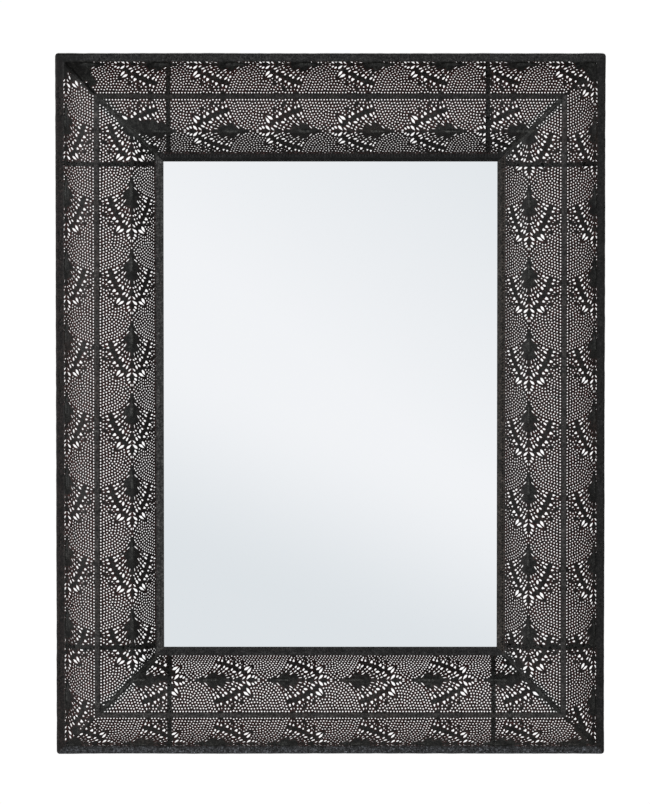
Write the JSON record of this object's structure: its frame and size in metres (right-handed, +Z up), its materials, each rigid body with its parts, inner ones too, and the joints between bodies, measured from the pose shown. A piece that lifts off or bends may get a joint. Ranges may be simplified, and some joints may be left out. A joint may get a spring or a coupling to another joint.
{
  "type": "wall mirror",
  "caption": "Rectangular wall mirror in a wide domed frame of pierced black sheet metal with a fan-and-dot pattern, hung on the wall by hinged rings.",
  "frame": {"origin": "centre of the back plane, where the frame's bumpers meet the wall", "axes": "+X to the right seen from the front, +Z up along the longer side, the glass and the frame's front face -Y and the wall is on the +Y side"},
  "size_m": [0.813, 0.0496, 1.041],
  "materials": {
    "pierced_sheet": "satin black paint with warm wear, pierced with small holes",
    "black_rail": "satin black paint, hand finished",
    "black_strap": "satin black paint with rubbed highlights",
    "black_rib": "matt black paint",
    "mirror": "silvered float glass",
    "board": "bare hardboard",
    "zinc": "zinc plated",
    "bumper": "matt"
  },
  "bodies": {
    "frame": {"outer_rail_top": "black_rail", "outer_rail_bottom": "black_rail", "outer_rail_left": "black_rail", "outer_rail_right": "black_rail", "inner_rail_top": "black_rail", "inner_rail_bottom": "black_rail", "inner_rail_left": "black_rail", "inner_rail_right": "black_rail", "crest_strap_top": "black_strap", "crest_strap_bottom": "black_strap", "crest_strap_left": "black_strap", "crest_strap_right": "black_strap", "outer_sheet_top": "pierced_sheet", "outer_sheet_bottom": "pierced_sheet", "outer_sheet_left": "pierced_sheet", "outer_sheet_right": "pierced_sheet", "inner_sheet_top": "pierced_sheet", "inner_sheet_bottom": "pierced_sheet", "inner_sheet_left": "pierced_sheet", "inner_sheet_right": "pierced_sheet", "cross_rib_top_left": "black_rib", "cross_rib_top_right": "black_rib", "cross_rib_bottom_left": "black_rib", "cross_rib_bottom_right": "black_rib", "cross_rib_left_top": "black_rib", "cross_rib_left_bottom": "black_rib", "cross_rib_right_top": "black_rib", "cross_rib_right_bottom": "black_rib", "mitre_rib_bottom_left": "black_rib", "mitre_rib_top_left": "black_rib", "mitre_rib_top_right": "black_rib", "mitre_rib_bottom_right": "black_rib", "mirror_glass": "mirror", "backing_board": "board", "board_lugs": "black_rib", "lug_screws": "zinc", "hanger_strap_left": "zinc", "hanger_strap_right": "zinc", "hanger_screws": "zinc", "wall_bumpers": "bumper"},
    "ring_left": {"d_ring_left": "zinc"},
    "ring_right": {"d_ring_right": "zinc"}
  },
  "joints": [
    {"name": "ring_left_swing", "type": "hinge", "parent": "frame", "child": "ring_left", "pos_m": [-0.3985, -0.00265, 0.262], "axis": [1, 0, 0], "range_deg": [0, 165]},
    {"name": "ring_right_swing", "type": "hinge", "parent": "frame", "child": "ring_right", "pos_m": [0.3985, -0.00265, 0.262], "axis": [1, 0, 0], "range_deg": [0, 165]}
  ]
}
